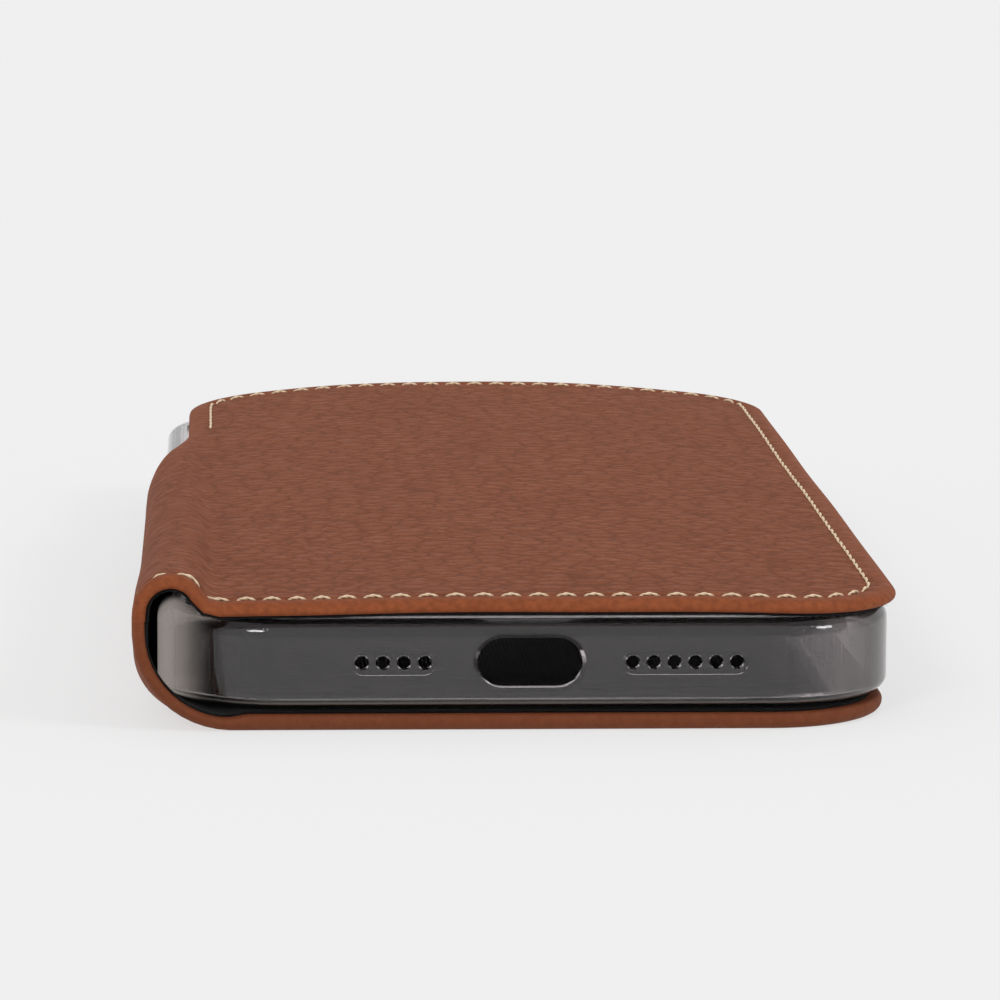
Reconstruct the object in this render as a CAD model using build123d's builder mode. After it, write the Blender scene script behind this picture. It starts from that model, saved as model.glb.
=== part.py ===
"""Leather phone wallet case: a one-piece hide cover (back, soft spine, flap) round a clear tray.

Millimetres. +X runs from the spine to the flap's free edge, +Y from the charging-port end to the
camera end, +Z up through the closed case. The origin is the middle of the case's footprint.
"""

import os
from math import asin, cos, degrees, radians, sin

from build123d import *

os.makedirs("parts", exist_ok=True)

# ---- Phone that the tray holds (not modelled) ----
phone_width = 77.4
phone_length = 160.5
phone_thickness = 7.8
phone_corner = 12.5
camera_window_x = 12.9          # from the phone's middle, towards the free edge
camera_window_y = 54.4          # from the phone's middle, towards the camera end
camera_window = (41.0, 42.0)
camera_window_corner = 11.0
button_height = 2.6

# ---- Clear tray ----
tray_x = 0.9                    # the tray's middle, off the case's middle because of the spine loop
fit_gap = 0.2                   # between the phone and the tray
tray_wall = 1.5
tray_floor = 1.0
tray_lip = 1.1                  # how far the lip reaches over the phone's edge
tray_lip_height = 0.9
tray_under_radius = 1.4
tray_top_radius = 2.0
port_size = (11.4, 5.5)
port_bevel = 0.4
sound_hole_radius = 0.78
sound_hole_pitch = 2.27
sound_recess_height = 2.6
sound_recess_depth = 0.4
left_holes = (4, -14.8)         # count, middle of the row from the port
right_holes = (6, 16.85)
camera_rim = 1.5
camera_rim_clearance = 0.8      # the rim stops this far above the table

# ---- Back panel, from the table up ----
back_skin = 0.8
back_hem = 0.9
lining = 0.4
adhesive = 0.4
back_right_inset = 0.5
back_near_overhang = 0.2
back_left_inset = 0.8
back_corner = 13.5
hem_width = 4.0
lining_inset = 1.6
lining_lap = 0.9                # the lining steps up onto the hem over this width at the fold

# ---- Flap, from the tray's lip up ----
flap_gap = 0.1
flap_lining_thickness = 0.35
flap_hem = 0.6
flap_skin = 0.7
flap_overhang_x = 0.8
flap_overhang_y = 0.6
flap_left_inset = 2.8
flap_corner = 12.5
crown_near = 0.55
crown_far = 2.7

# ---- Spine loop, a strip that follows concentric arcs ----
spine_clearance = 2.6           # from the tray's left wall to the outside of the spine
lower_radius = 6.0
upper_radius = 4.3
upper_centre_z = 11.3
lower_fold = 225.0              # where on the lower arc the back panel hands over to the spine
upper_fold = 120.0              # where on the upper arc the spine hands over to the flap
fold_gap = 0.15                 # half the slit between two bodies at a fold line

# ---- Cut-away that leaves the side buttons free ----
flap_notch_start = 50.0         # where the flap's left edge begins to sweep out to the spine
flap_notch_length = 24.0
back_notch_start = 30.0         # the same for the back panel
back_notch_length = 17.0
spine_cut_low = 12.0            # the spine's wall ends here beside the buttons
spine_cut_height = 8.9

# ---- Thread ----
stitch_margin = 3.0
stitch_width = 0.5
stitch_depth = 0.25

# ---- Pockets on the flap's inner face ----
pocket_skin = 0.3
pocket_gap = 0.05
pocket_near, pocket_far = -30.0, 62.0
pocket_right = 37.2
pocket_mouths = [-25.0, -15.0, -5.0]
pocket_names = ["note_pocket", "card_pocket_upper", "card_pocket_lower"]
pocket_thread = 0.12

# ---- Press pads over the side buttons: name, side, distance from the phone's top, length ----
pads = [
    ("action_pad", -1, 32.5, 7.5),
    ("volume_up_pad", -1, 46.5, 10.5),
    ("volume_down_pad", -1, 59.5, 10.5),
    ("power_pad", 1, 50.0, 17.0),
]
pad_proud = 0.35
pad_depth = 0.9
pad_round = 0.25
pad_clearance = 0.2

# ---- Worked out ----
tray_width = phone_width + 2 * (fit_gap + tray_wall)
tray_length = phone_length + 2 * (fit_gap + tray_wall)
tray_corner = phone_corner + tray_wall
back_top = back_skin + back_hem
fold_leather = flap_hem + flap_skin
tray_bottom = back_top + lining + adhesive
bay_floor = tray_bottom + tray_floor
bay_top = bay_floor + phone_thickness
tray_top = bay_top + tray_lip_height
tray_left = tray_x - tray_width / 2
tray_right = tray_x + tray_width / 2
half_length = tray_length / 2
button_z = bay_floor + phone_thickness / 2
flap_bottom = tray_top + flap_gap
hem_bottom = flap_bottom + flap_lining_thickness
skin_bottom = hem_bottom + flap_hem
flap_top = skin_bottom + flap_skin
flap_left = tray_left + flap_left_inset
flap_right = tray_right + flap_overhang_x
flap_middle = (flap_left + flap_right) / 2
flap_half = (flap_right - flap_left) / 2
flap_near = -half_length - flap_overhang_y
flap_far = half_length + flap_overhang_y
back_left = tray_left + back_left_inset
back_right = tray_right - back_right_inset
back_near = -half_length - back_near_overhang
back_far = half_length + back_near_overhang
spine_outside = tray_left - spine_clearance
lower_centre = (spine_outside + lower_radius, lower_radius)
upper_centre = (spine_outside + upper_radius, upper_centre_z)
half_root = sin(radians(45))
reverse_radius = (upper_centre_z + upper_radius * half_root - flap_top) / (1 - half_root)
reverse_centre = tuple(c + (upper_radius + reverse_radius) * half_root for c in upper_centre)
back_fold_x = lower_centre[0]   # the flat back panel ends here and the strip begins
flap_fold_x = reverse_centre[0]
lower_slit = degrees(asin(fold_gap / lower_radius))
upper_slit = degrees(asin(fold_gap / upper_radius))
flap_reach = flap_left - spine_outside + 0.9
back_reach = back_left - spine_outside + 1.9
window_at = (tray_x + camera_window_x, camera_window_y)
bay = (phone_width + 2 * fit_gap, phone_length + 2 * fit_gap)
tall = 30.0                     # taller than the case, for cutting tools
wide = 120.0


# ---- Plans and sections ----
def side_plane(y):
    """Plane across the case at y; extruding from it runs towards the charging-port end."""
    return Plane.XZ.offset(-y)


def panel(left, right, near, far, corner, fold_x, notch_start, inset=0.0, fold_inset=0.0):
    """Plan of a panel's flat part: three rounded corners, and open to the spine at its fold."""
    with BuildSketch(mode=Mode.PRIVATE) as plan:
        with Locations(((left + right) / 2, (near + far) / 2)):
            RectangleRounded(right - left - 2 * inset, far - near - 2 * inset, corner - inset)
        with Locations((left + inset, near + inset)):
            Rectangle(corner, 2 * corner, align=Align.MIN)
        with Locations((fold_x + fold_inset, notch_start + fold_inset)):
            Rectangle(wide, 2 * wide, align=Align.MAX, mode=Mode.SUBTRACT)
    return plan.sketch


def back_plan(inset=0.0, fold_inset=0.0):
    """Plan of the back panel's flat part, smaller by the two insets."""
    return panel(back_left, back_right, back_near, back_far, back_corner, back_fold_x,
                 back_notch_start, inset, fold_inset)


def flap_plan(inset=0.0, fold_inset=0.0):
    """Plan of the flap's flat part, smaller by the two insets."""
    return panel(flap_left, flap_right, flap_near, flap_far, flap_corner, flap_fold_x,
                 flap_notch_start, inset, fold_inset)


def window_plan(margin):
    """Plan of the camera window, larger by margin all round."""
    with BuildSketch(mode=Mode.PRIVATE) as plan:
        with Locations(window_at):
            RectangleRounded(camera_window[0] + 2 * margin, camera_window[1] + 2 * margin,
                             camera_window_corner + margin)
    return plan.sketch


def between(outer, inner):
    """What is left of one plan when another is taken from it."""
    with BuildSketch(mode=Mode.PRIVATE) as plan:
        add(outer)
        add(inner, mode=Mode.SUBTRACT)
    return plan.sketch


def sweep_out(left, start, length, reach, grow):
    """Plan of what is cut away beside a panel: its edge sweeps out in a quarter ellipse."""
    with BuildSketch(mode=Mode.PRIVATE) as away:
        with Locations((left - reach, start)):
            Ellipse(reach + grow, length + grow)
            Rectangle(wide, 2 * (length + grow), align=(Align.MAX, Align.CENTER))
        with Locations((left + grow, start)):
            Rectangle(wide, wide, align=(Align.MAX, Align.MIN))
    return away.sketch


def flap_away(grow=0.0):
    """What is cut away beside the flap, larger by grow."""
    return sweep_out(flap_left, flap_notch_start, flap_notch_length, flap_reach, grow)


def back_away():
    """What is cut away beside the back panel."""
    return sweep_out(back_left, back_notch_start, back_notch_length, back_reach, 0)


def spine_away(grow=0.0):
    """What is cut away from the spine, in side view: most beside the volume buttons."""
    low, shoulder = spine_cut_low - grow, flap_notch_start - flap_notch_length - grow
    with BuildSketch(mode=Mode.PRIVATE) as away:
        with BuildLine():
            Polyline((low, -1), (low, spine_cut_height - 2), (low + 2, spine_cut_height),
                     (shoulder, upper_centre_z), (shoulder, tall), (wide, tall), (wide, -1),
                     close=True)
        make_face()
    return away.sketch


def arc_band(centre, radius_a, radius_b, start, size):
    """Sector of a ring between two radii, in the current sketch."""
    with BuildLine() as outline:
        a = CenterArc(centre, radius_a, start, size)
        b = CenterArc(centre, radius_b, start, size)
        Line(a @ 0, b @ 0)
        Line(a @ 1, b @ 1)
    make_face(outline.edges())


def back_band(outer, inner):
    """The back panel's end of the hide strip, off the table and up to the lower fold line."""
    start = lower_fold + lower_slit
    arc_band(lower_centre, lower_radius - outer, lower_radius - inner, start, 270 - start)


def spine_band(outer, inner):
    """The spine's stretch of the strip, from the lower fold line up to the upper one."""
    arc_band(lower_centre, lower_radius - outer, lower_radius - inner, 180,
             lower_fold - lower_slit - 180)
    start = upper_fold + upper_slit
    arc_band(upper_centre, upper_radius - outer, upper_radius - inner, start, 180 - start)
    with Locations((spine_outside + outer, lower_centre[1])):
        Rectangle(inner - outer, upper_centre_z - lower_centre[1], align=Align.MIN)


def flap_band(outer, inner):
    """The flap's end of the strip, over the crest and down to the flat of the flap."""
    arc_band(upper_centre, upper_radius - outer, upper_radius - inner, 45,
             upper_fold - upper_slit - 45)
    arc_band(reverse_centre, reverse_radius + outer, reverse_radius + inner, 225, 45)


def crown_section(bottom, top, crown):
    """Section of a crowned layer: two arcs that rise by the crown over the flap's middle."""
    reach = flap_half + 4
    drop = crown * (1 - (reach / flap_half) ** 2)
    left, right = flap_middle - reach, flap_middle + reach
    with BuildLine() as outline:
        ThreePointArc((left, bottom + drop), (flap_middle, bottom + crown), (right, bottom + drop))
        Line((right, bottom + drop), (right, top + drop))
        ThreePointArc((right, top + drop), (flap_middle, top + crown), (left, top + drop))
        Line((left, top + drop), (left, bottom + drop))
    make_face(outline.edges())


# ---- Solids that several pieces share ----
def strip(band, outer, inner, near, far):
    """Length of the hide strip between two depths in from its outside."""
    with BuildSketch(side_plane(far)) as section:
        band(outer, inner)
    extrude(section.sketch, amount=far - near)


def near_thread(band, near):
    """Thread laid into the hide strip, along its edge at the charging-port end."""
    start = near + stitch_margin - stitch_width / 2
    strip(band, 0, stitch_depth, start, start + stitch_width)


def slab(plan, bottom, top, mode=Mode.ADD):
    """Flat layer of a plan between two heights."""
    with BuildSketch(Plane.XY.offset(bottom)) as placed:
        add(plan)
    extrude(placed.sketch, amount=top - bottom, mode=mode)


def crowned(plan, bottom, top):
    """Layer of the flap between two heights, which are taken at its sides, cut to a plan.

    It swells in the middle, and more towards the camera end.
    """
    spare = 4
    slope = (crown_far - crown_near) / (flap_far - flap_near)
    with BuildPart(mode=Mode.PRIVATE) as layer:
        with BuildSketch(side_plane(flap_far + spare)):
            crown_section(bottom, top, crown_far + slope * spare)
        with BuildSketch(side_plane(flap_near - spare)):
            crown_section(bottom, top, crown_near - slope * spare)
        loft(ruled=True)
        slab(plan, 0, tall, Mode.INTERSECT)
    return layer.part


def cut_beside(plan):
    """Takes away what a side view covers, over the strip's end of the case."""
    with BuildSketch(Plane.YZ.offset(spine_outside - 1)) as placed:
        add(plan)
    extrude(placed.sketch, amount=wide / 2, mode=Mode.SUBTRACT)


def save(piece, name):
    """Names a finished piece and writes it."""
    piece.label = name
    export_step(piece, f"parts/{name}.step")


# ---- Back panel ----
back_thread_plan = between(back_plan(stitch_margin - stitch_width / 2, 0),
                           back_plan(stitch_margin + stitch_width / 2, 0))
with BuildPart() as back_stitching:
    near_thread(back_band, back_near)
    slab(back_thread_plan, 0, stitch_depth)
save(back_stitching.part, "back_stitching")

back_recess = between(back_plan(hem_width, hem_width), window_plan(camera_rim + hem_width))
with BuildPart() as back_leather:
    strip(back_band, 0, fold_leather, back_near, back_notch_start)
    slab(back_away(), -1, tall, Mode.SUBTRACT)
    slab(back_plan(), 0, back_top)
    slab(back_recess, back_skin, back_top, Mode.SUBTRACT)
    slab(window_plan(camera_rim + 0.4), -1, tall, Mode.SUBTRACT)
    add(back_stitching.part, mode=Mode.SUBTRACT)
save(back_leather.part, "back_leather")

with BuildPart() as back_board:
    slab(back_recess, back_skin, back_top)
save(back_board.part, "back_board")

with BuildPart() as back_lining:
    strip(back_band, fold_leather, fold_leather + lining, back_near + lining_inset,
          back_notch_start)
    with BuildSketch(side_plane(back_notch_start)):
        with Locations((back_fold_x, fold_leather + lining / 2)):
            Rectangle(lining_lap, back_top - fold_leather + lining / 2,
                      align=(Align.MAX, Align.MIN))
    extrude(amount=back_notch_start - back_near - lining_inset)
    slab(back_away(), -1, tall, Mode.SUBTRACT)
    slab(between(back_plan(lining_inset, 0), window_plan(camera_rim + 1)), back_top,
         back_top + lining)
save(back_lining.part, "back_lining")

adhesive_plan = between(back_plan(8, 4), window_plan(camera_rim + 3))
with BuildPart() as tray_adhesive:
    slab(adhesive_plan, back_top + lining, tray_bottom)
save(tray_adhesive.part, "tray_adhesive")

# ---- Spine ----
with BuildPart() as spine_stitching:
    near_thread(spine_band, flap_near)
save(spine_stitching.part, "spine_stitching")

with BuildPart() as spine_leather:
    strip(spine_band, 0, fold_leather, flap_near, flap_notch_start)
    cut_beside(spine_away())
    slab(flap_away(), upper_centre_z, tall, Mode.SUBTRACT)
    add(spine_stitching.part, mode=Mode.SUBTRACT)
save(spine_leather.part, "spine_leather")

with BuildPart() as spine_lining:
    strip(spine_band, fold_leather, fold_leather + lining, flap_near + lining_inset,
          flap_notch_start)
    cut_beside(spine_away(lining_inset))
save(spine_lining.part, "spine_lining")

# ---- Flap ----
flap_thread_plan = between(flap_plan(stitch_margin - stitch_width / 2, 0),
                           flap_plan(stitch_margin + stitch_width / 2, 0))
with BuildPart() as flap_stitching:
    near_thread(flap_band, flap_near)
    add(crowned(flap_thread_plan, flap_top - stitch_depth, flap_top))
save(flap_stitching.part, "flap_stitching")

flap_recess = flap_plan(hem_width, hem_width)
with BuildPart() as flap_leather:
    strip(flap_band, 0, fold_leather, flap_near, flap_notch_start)
    slab(flap_away(), -1, tall, Mode.SUBTRACT)
    add(crowned(flap_plan(), hem_bottom, flap_top))
    add(crowned(flap_recess, hem_bottom - 1, skin_bottom), mode=Mode.SUBTRACT)
    add(flap_stitching.part, mode=Mode.SUBTRACT)
save(flap_leather.part, "flap_leather")

with BuildPart() as flap_board:
    add(crowned(flap_recess, hem_bottom, skin_bottom))
save(flap_board.part, "flap_board")

with BuildPart() as flap_lining:
    strip(flap_band, fold_leather, fold_leather + flap_lining_thickness,
          flap_near + lining_inset, flap_notch_start)
    slab(flap_away(lining_inset), -1, tall, Mode.SUBTRACT)
    add(crowned(flap_plan(lining_inset, lining_inset), flap_bottom, hem_bottom))
save(flap_lining.part, "flap_lining")

# ---- Pockets under the flap ----
pocket_middle = (pocket_near + pocket_far) / 2
pocket_length = pocket_far - pocket_near
thread_runs = []
for level, (name, mouth) in enumerate(zip(pocket_names, pocket_mouths)):
    pocket_top = flap_bottom - pocket_gap - level * (pocket_skin + pocket_gap)
    with BuildSketch(mode=Mode.PRIVATE) as pocket_plan:
        with Locations((mouth, pocket_middle)):
            Rectangle(pocket_right - mouth, pocket_length, align=(Align.MIN, Align.CENTER))
    with BuildPart() as pocket:
        add(crowned(pocket_plan.sketch, pocket_top - pocket_skin, pocket_top))
    save(pocket.part, name)
    last = name == pocket_names[-1]
    run_end = pocket_right - lining_inset if last else pocket_mouths[level + 1] - 0.2
    with BuildSketch(mode=Mode.PRIVATE) as run:
        with Locations((mouth, pocket_near + lining_inset), (mouth, pocket_far - lining_inset)):
            Rectangle(run_end - mouth, stitch_width, align=(Align.MIN, Align.CENTER))
        if last:
            with Locations((run_end, pocket_middle)):
                Rectangle(stitch_width, pocket_length - 2 * lining_inset)
    seam = pocket_top - pocket_skin
    thread_runs.append(crowned(run.sketch, seam - pocket_thread, seam))

with BuildPart() as pocket_stitching:
    add(thread_runs)
save(pocket_stitching.part, "pocket_stitching")

# ---- Clear tray ----
lip_opening = tuple(side - 2 * tray_lip for side in bay)
with BuildPart() as phone_tray:
    with BuildSketch(Plane.XY.offset(tray_bottom)):
        with Locations((tray_x, 0)):
            RectangleRounded(tray_width, tray_length, tray_corner)
    extrude(amount=tray_top - tray_bottom)
    fillet(phone_tray.edges().group_by(Axis.Z)[0], tray_under_radius)
    fillet(phone_tray.edges().group_by(Axis.Z)[-1], tray_top_radius)
    slab(window_plan(camera_rim), camera_rim_clearance, bay_floor)
    with BuildSketch(Plane.XY.offset(bay_floor)):
        with Locations((tray_x, 0)):
            RectangleRounded(*bay, phone_corner + fit_gap)
    extrude(amount=phone_thickness, mode=Mode.SUBTRACT)
    with BuildSketch(Plane.XY.offset(bay_floor)):
        with Locations((tray_x, 0)):
            RectangleRounded(*lip_opening, phone_corner + fit_gap - tray_lip)
    extrude(amount=tall, mode=Mode.SUBTRACT)
    slab(window_plan(0), 0, tall, Mode.SUBTRACT)
    with BuildSketch(side_plane(tray_wall * 2 - half_length)):
        with Locations((tray_x, button_z)):
            SlotOverall(*port_size)
        for count, middle in (left_holes, right_holes):
            with Locations((tray_x + middle, button_z)):
                with GridLocations(sound_hole_pitch, 1, count, 1):
                    Circle(sound_hole_radius)
    extrude(amount=tray_wall * 4, mode=Mode.SUBTRACT)
    with BuildSketch(side_plane(-half_length)):
        with Locations((tray_x, button_z)):
            SlotOverall(*(side + 2 * port_bevel for side in port_size))
    extrude(amount=-port_bevel, taper=45, mode=Mode.SUBTRACT)
    with BuildSketch(side_plane(sound_recess_depth - half_length)):
        for count, middle in (left_holes, right_holes):
            with Locations((tray_x + middle, button_z)):
                SlotOverall(count * sound_hole_pitch, sound_recess_height)
    extrude(amount=tray_wall, mode=Mode.SUBTRACT)
    for name, side, from_top, length in pads:
        with BuildSketch(Plane.YZ.offset(tray_x + side * tray_width / 2)):
            with Locations((phone_length / 2 - from_top, button_z)):
                SlotOverall(length + 2 * pad_clearance, button_height + 2 * pad_clearance)
        extrude(amount=tray_wall + 1, both=True, mode=Mode.SUBTRACT)
save(phone_tray.part, "phone_tray")

# ---- Press pads ----
for name, side, from_top, length in pads:
    wall = tray_x + side * tray_width / 2
    with BuildPart() as pad:
        with BuildSketch(Plane.YZ.offset(wall + side * pad_proud)):
            with Locations((phone_length / 2 - from_top, button_z)):
                SlotOverall(length, button_height)
        extrude(amount=-side * (pad_proud + pad_depth))
        outer_face = pad.faces().sort_by(Axis.X)[0 if side < 0 else -1]
        fillet(outer_face.edges(), pad_round)
    save(pad.part, name)

print("lower fold axis", [round(c + lower_radius * f(radians(lower_fold)), 3)
                          for c, f in zip(lower_centre, (cos, sin))])
print("upper fold axis", [round(c + upper_radius * f(radians(upper_fold)), 3)
                          for c, f in zip(upper_centre, (cos, sin))])
print("heights", tray_bottom, bay_floor, bay_top, tray_top, flap_bottom, flap_top)
print("fold x", back_fold_x, flap_fold_x, "sides", spine_outside, flap_right, flap_near)
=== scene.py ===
"""Looks of the leather phone wallet case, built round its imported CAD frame.

Shapes are worked out in millimetres. The hide is drawn flat, in the plan it would be cut to: u runs
across it from the middle of the spine, v along the case. Two surfaces then bend it into the cover.
"""

import math

import bmesh
import bpy
import numpy as np
from mathutils import Matrix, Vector
from mathutils.geometry import delaunay_2d_cdt


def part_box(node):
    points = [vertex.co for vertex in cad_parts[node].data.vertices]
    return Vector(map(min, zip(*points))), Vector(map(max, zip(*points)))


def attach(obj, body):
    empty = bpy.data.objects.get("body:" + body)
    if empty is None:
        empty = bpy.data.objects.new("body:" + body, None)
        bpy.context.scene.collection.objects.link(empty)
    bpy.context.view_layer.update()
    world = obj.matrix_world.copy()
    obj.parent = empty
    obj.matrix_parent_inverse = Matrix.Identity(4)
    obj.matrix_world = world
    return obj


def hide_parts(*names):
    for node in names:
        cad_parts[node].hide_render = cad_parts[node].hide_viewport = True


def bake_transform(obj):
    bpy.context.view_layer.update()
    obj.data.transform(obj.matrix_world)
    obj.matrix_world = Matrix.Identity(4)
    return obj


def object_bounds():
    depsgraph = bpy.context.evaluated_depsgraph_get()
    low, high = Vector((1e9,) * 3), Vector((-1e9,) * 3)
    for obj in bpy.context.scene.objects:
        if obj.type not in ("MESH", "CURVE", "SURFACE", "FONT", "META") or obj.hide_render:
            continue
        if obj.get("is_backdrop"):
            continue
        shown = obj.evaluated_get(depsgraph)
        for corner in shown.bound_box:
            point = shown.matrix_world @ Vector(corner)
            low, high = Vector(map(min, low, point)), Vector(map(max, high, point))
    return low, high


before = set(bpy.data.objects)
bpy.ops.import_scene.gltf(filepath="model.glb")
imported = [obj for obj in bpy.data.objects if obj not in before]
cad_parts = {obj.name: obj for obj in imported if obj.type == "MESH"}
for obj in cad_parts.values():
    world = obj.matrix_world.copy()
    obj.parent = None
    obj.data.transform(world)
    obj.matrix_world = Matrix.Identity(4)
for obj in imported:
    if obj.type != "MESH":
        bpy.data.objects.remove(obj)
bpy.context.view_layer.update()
rng = np.random.default_rng(7)
MM = 0.001


def node_box(node):
    """Lowest and highest corner of a CAD node, in millimetres."""
    return [np.array(corner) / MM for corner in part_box(node)]


# ---- Sizes from the frame ----
flap_low, flap_high = node_box("flap_leather")
back_low, back_high = node_box("back_leather")
spine_x = node_box("spine_leather")[0][0]
tray_left = node_box("phone_tray")[0][0]
pockets = {name: node_box(name) for name in ("note_pocket", "card_pocket_upper",
                                             "card_pocket_lower")}
flap_near, flap_far = flap_low[1], flap_high[1]

# ---- Sizes of the hide ----
crown_near, crown_far = 0.55, 2.7
flap_side_z = flap_high[2] - crown_far
flap_left = tray_left + 2.8
flap_near_corner, flap_far_corner = 13.5, 10.0
back_left = tray_left + 0.8
back_corner = 13.5
notch_start = {"flap": 51.0, "back": 30.0}
notch_foot = 13.0
hide = 1.3
back_hide = 1.7
suede = 0.36
flap_middle = (flap_left + flap_high[0]) / 2
flap_half = (flap_high[0] - flap_left) / 2
upper_radius = 3.9
reverse_radius = 1.9
lower_radius = 6.0
lower_radius_at_mouth = 11.0
crest_near, crest_mid, crest_far = 17.2, 15.6, 14.6
settle = 20.0                   # the spine's shape dies out over this much of the flat
flare_length = 9.0              # along the case, at the mouth
flatten_from = 18.0             # the flap's side of the spine starts to flatten here
window_middle = np.array([13.8, 54.4])
window_size = np.array([44.8, 45.8])
window_corner = 12.9

# ---- Sizes of the sewing ----
margin = 3.0
pocket_margin = 1.6
stitch_pitch = 3.0
stitch_length = 2.4
steps_per_stitch = 4
ply_radius = 0.13
ply_offset = 0.065
ply_turns = 1.5


def smooth(t):
    """0 before t is 0, 1 after it is 1, and an even turn between."""
    t = np.clip(t, 0, 1)
    return t * t * (3 - 2 * t)


# ---- How the spine runs: heights and radii along the case ----
def crest_z(v):
    """Height of the spine's crest: highest at the mouth, lowest beside the cut-away."""
    t = np.clip((v - flap_near) / (notch_start["flap"] - 25 - flap_near), 0, 1)
    return crest_far + (crest_near - crest_far) * (1 - t) ** 1.5


def foot_radius(v):
    """Radius of the spine's lower bend, which flares at the mouth."""
    flare = np.exp(-(((v - flap_near) / flare_length) ** 2))
    return lower_radius + (lower_radius_at_mouth - lower_radius) * flare


def crest_turn(crest):
    """Angle that the hide turns through from the crest down to the flap."""
    return np.arccos(1 - (crest - flap_side_z) / (upper_radius + reverse_radius))


def pinch(v):
    """How far the spine's wall draws in towards the tray, away from the mouth."""
    return 0.3 * smooth((v - flap_near - 10) / 30)


def lean(v):
    """How far the top of the wall leans in over its middle."""
    return 0.3 + 0.5 * smooth((v - flap_near) / 30)


def wall_middle(v):
    """Height of the middle of the spine's wall, where u is 0."""
    return (foot_radius(v) + crest_z(v) - upper_radius) / 2


usual_turn = float(crest_turn(crest_mid))
half_wall = (crest_mid - upper_radius - lower_radius) / 2
flap_marks = np.cumsum([half_wall, upper_radius * math.pi / 2, upper_radius * usual_turn,
                        reverse_radius * usual_turn])
back_marks = np.cumsum([half_wall, lower_radius * math.pi / 2])
flap_flat_x = spine_x + upper_radius + (upper_radius + reverse_radius) * math.sin(usual_turn)
back_flat_x = spine_x + lower_radius
flap_u_of_x = flap_marks[3] - flap_flat_x
back_u_of_x = back_marks[1] - back_flat_x


def crown(x, v):
    """How far the padded flap stands up over its sides."""
    height = crown_near + (crown_far - crown_near) * (v - flap_near) / (flap_far - flap_near)
    return height * np.clip(1 - ((x - flap_middle) / flap_half) ** 2, 0, 1)


def waviness(x, v):
    """Hand-made unevenness of the flap, about a tenth of a millimetre."""
    return 0.07 * np.sin(x / 9 + 0.4) * np.sin(v / 14) + 0.05 * np.sin(x / 5.2 + v / 8 + 1)


def flap_surface(u, v):
    """Outer face of the spine's upper half and the flap."""
    crest = crest_z(v)
    turn = crest_turn(crest)
    top = crest - upper_radius
    part = np.clip(u / flap_marks[0], 0, 1)
    rise = np.clip((u - flap_marks[0]) / (flap_marks[1] - flap_marks[0]), 0, 1)
    fall = np.clip((u - flap_marks[1]) / (flap_marks[2] - flap_marks[1]), 0, 1)
    level = np.clip((u - flap_marks[2]) / (flap_marks[3] - flap_marks[2]), 0, 1)
    a = math.pi * (1 - rise / 2)
    b = math.pi / 2 - turn * fall
    c = math.pi * 1.5 - turn * (1 - level)
    start = math.pi * 1.5 - turn
    x = spine_x + upper_radius * (1 + np.cos(a) + np.cos(b))
    x = x + reverse_radius * (np.cos(c) - np.cos(start))
    z = wall_middle(v) + (top - wall_middle(v)) * part
    z = z + upper_radius * (np.sin(a) + np.sin(b) - 1)
    z = z + reverse_radius * (np.sin(c) - np.sin(start))
    beyond = np.maximum(u - flap_marks[3], 0)
    shift = spine_x + upper_radius + (upper_radius + reverse_radius) * np.sin(turn) - flap_flat_x
    x = x + beyond - shift * smooth(beyond / settle)
    x = x + pinch(v) * (1 - smooth(beyond / settle))
    x = x + lean(v) * (smooth(u / flap_marks[1]) - smooth(beyond / settle))
    flat = smooth((v - flatten_from) / (notch_start["flap"] - flatten_from))
    x = x + (u - flap_u_of_x - x) * flat
    z = z + (flap_side_z - z) * flat
    z = z + crown(x, v) + waviness(x, v) * smooth(beyond / 12)
    return np.stack([x, v, z], -1)


def back_surface(u, v):
    """Outer face of the spine's lower half and the back panel."""
    radius = foot_radius(v)
    part = np.clip(u / back_marks[0], 0, 1)
    bend = np.clip((u - back_marks[0]) / (back_marks[1] - back_marks[0]), 0, 1)
    a = math.pi * (1 + bend / 2)
    x = spine_x + radius * (1 + np.cos(a))
    z = wall_middle(v) + (radius - wall_middle(v)) * part + radius * np.sin(a)
    beyond = np.maximum(u - back_marks[1], 0)
    x = x + beyond - (radius - lower_radius) * smooth(beyond / settle)
    x = x + pinch(v) * (1 - smooth(beyond / settle))
    flat = smooth((v - notch_foot) / (notch_start["back"] - notch_foot))
    x = x + (u - back_u_of_x - x) * flat
    z = z * (1 - flat)
    return np.stack([x, v, z], -1)


def inward(surface, side):
    """Turns a surface into a place in the hide: across, along and down from its outer face."""
    def place(u, v, depth):
        step = 0.02
        across = surface(u + step, v) - surface(np.maximum(u - step, 0), v)
        along = surface(u, v + step) - surface(u, v - step)
        normal = np.cross(across, along)
        normal /= np.linalg.norm(normal, axis=1, keepdims=True)
        return surface(u, v) - side * normal * depth[:, None]
    return place


in_flap = inward(flap_surface, 1)
in_even_back = inward(back_surface, -1)


def in_back(u, v, depth):
    """A place in the back half, whose hide is folded thicker once it is past the spine."""
    grow = 1 + (back_hide / hide - 1) * smooth((u - back_marks[1] + 1) / 3)
    return in_even_back(u, v, depth * grow)


# ---- Plans ----
def line(start, end, step=0.2):
    """Points along a straight line, without its end."""
    count = max(2, int(math.dist(start, end) / step))
    t = np.linspace(0, 1, count, endpoint=False)[:, None]
    return np.array(start) * (1 - t) + np.array(end) * t


def arc(centre, radius, start, end, step=0.2):
    """Points along an arc, in degrees, without its end."""
    count = max(4, int(abs(math.radians(end - start)) * radius / step))
    a = np.radians(np.linspace(start, end, count, endpoint=False))
    return np.array(centre) + radius * np.stack([np.cos(a), np.sin(a)], 1)


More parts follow.
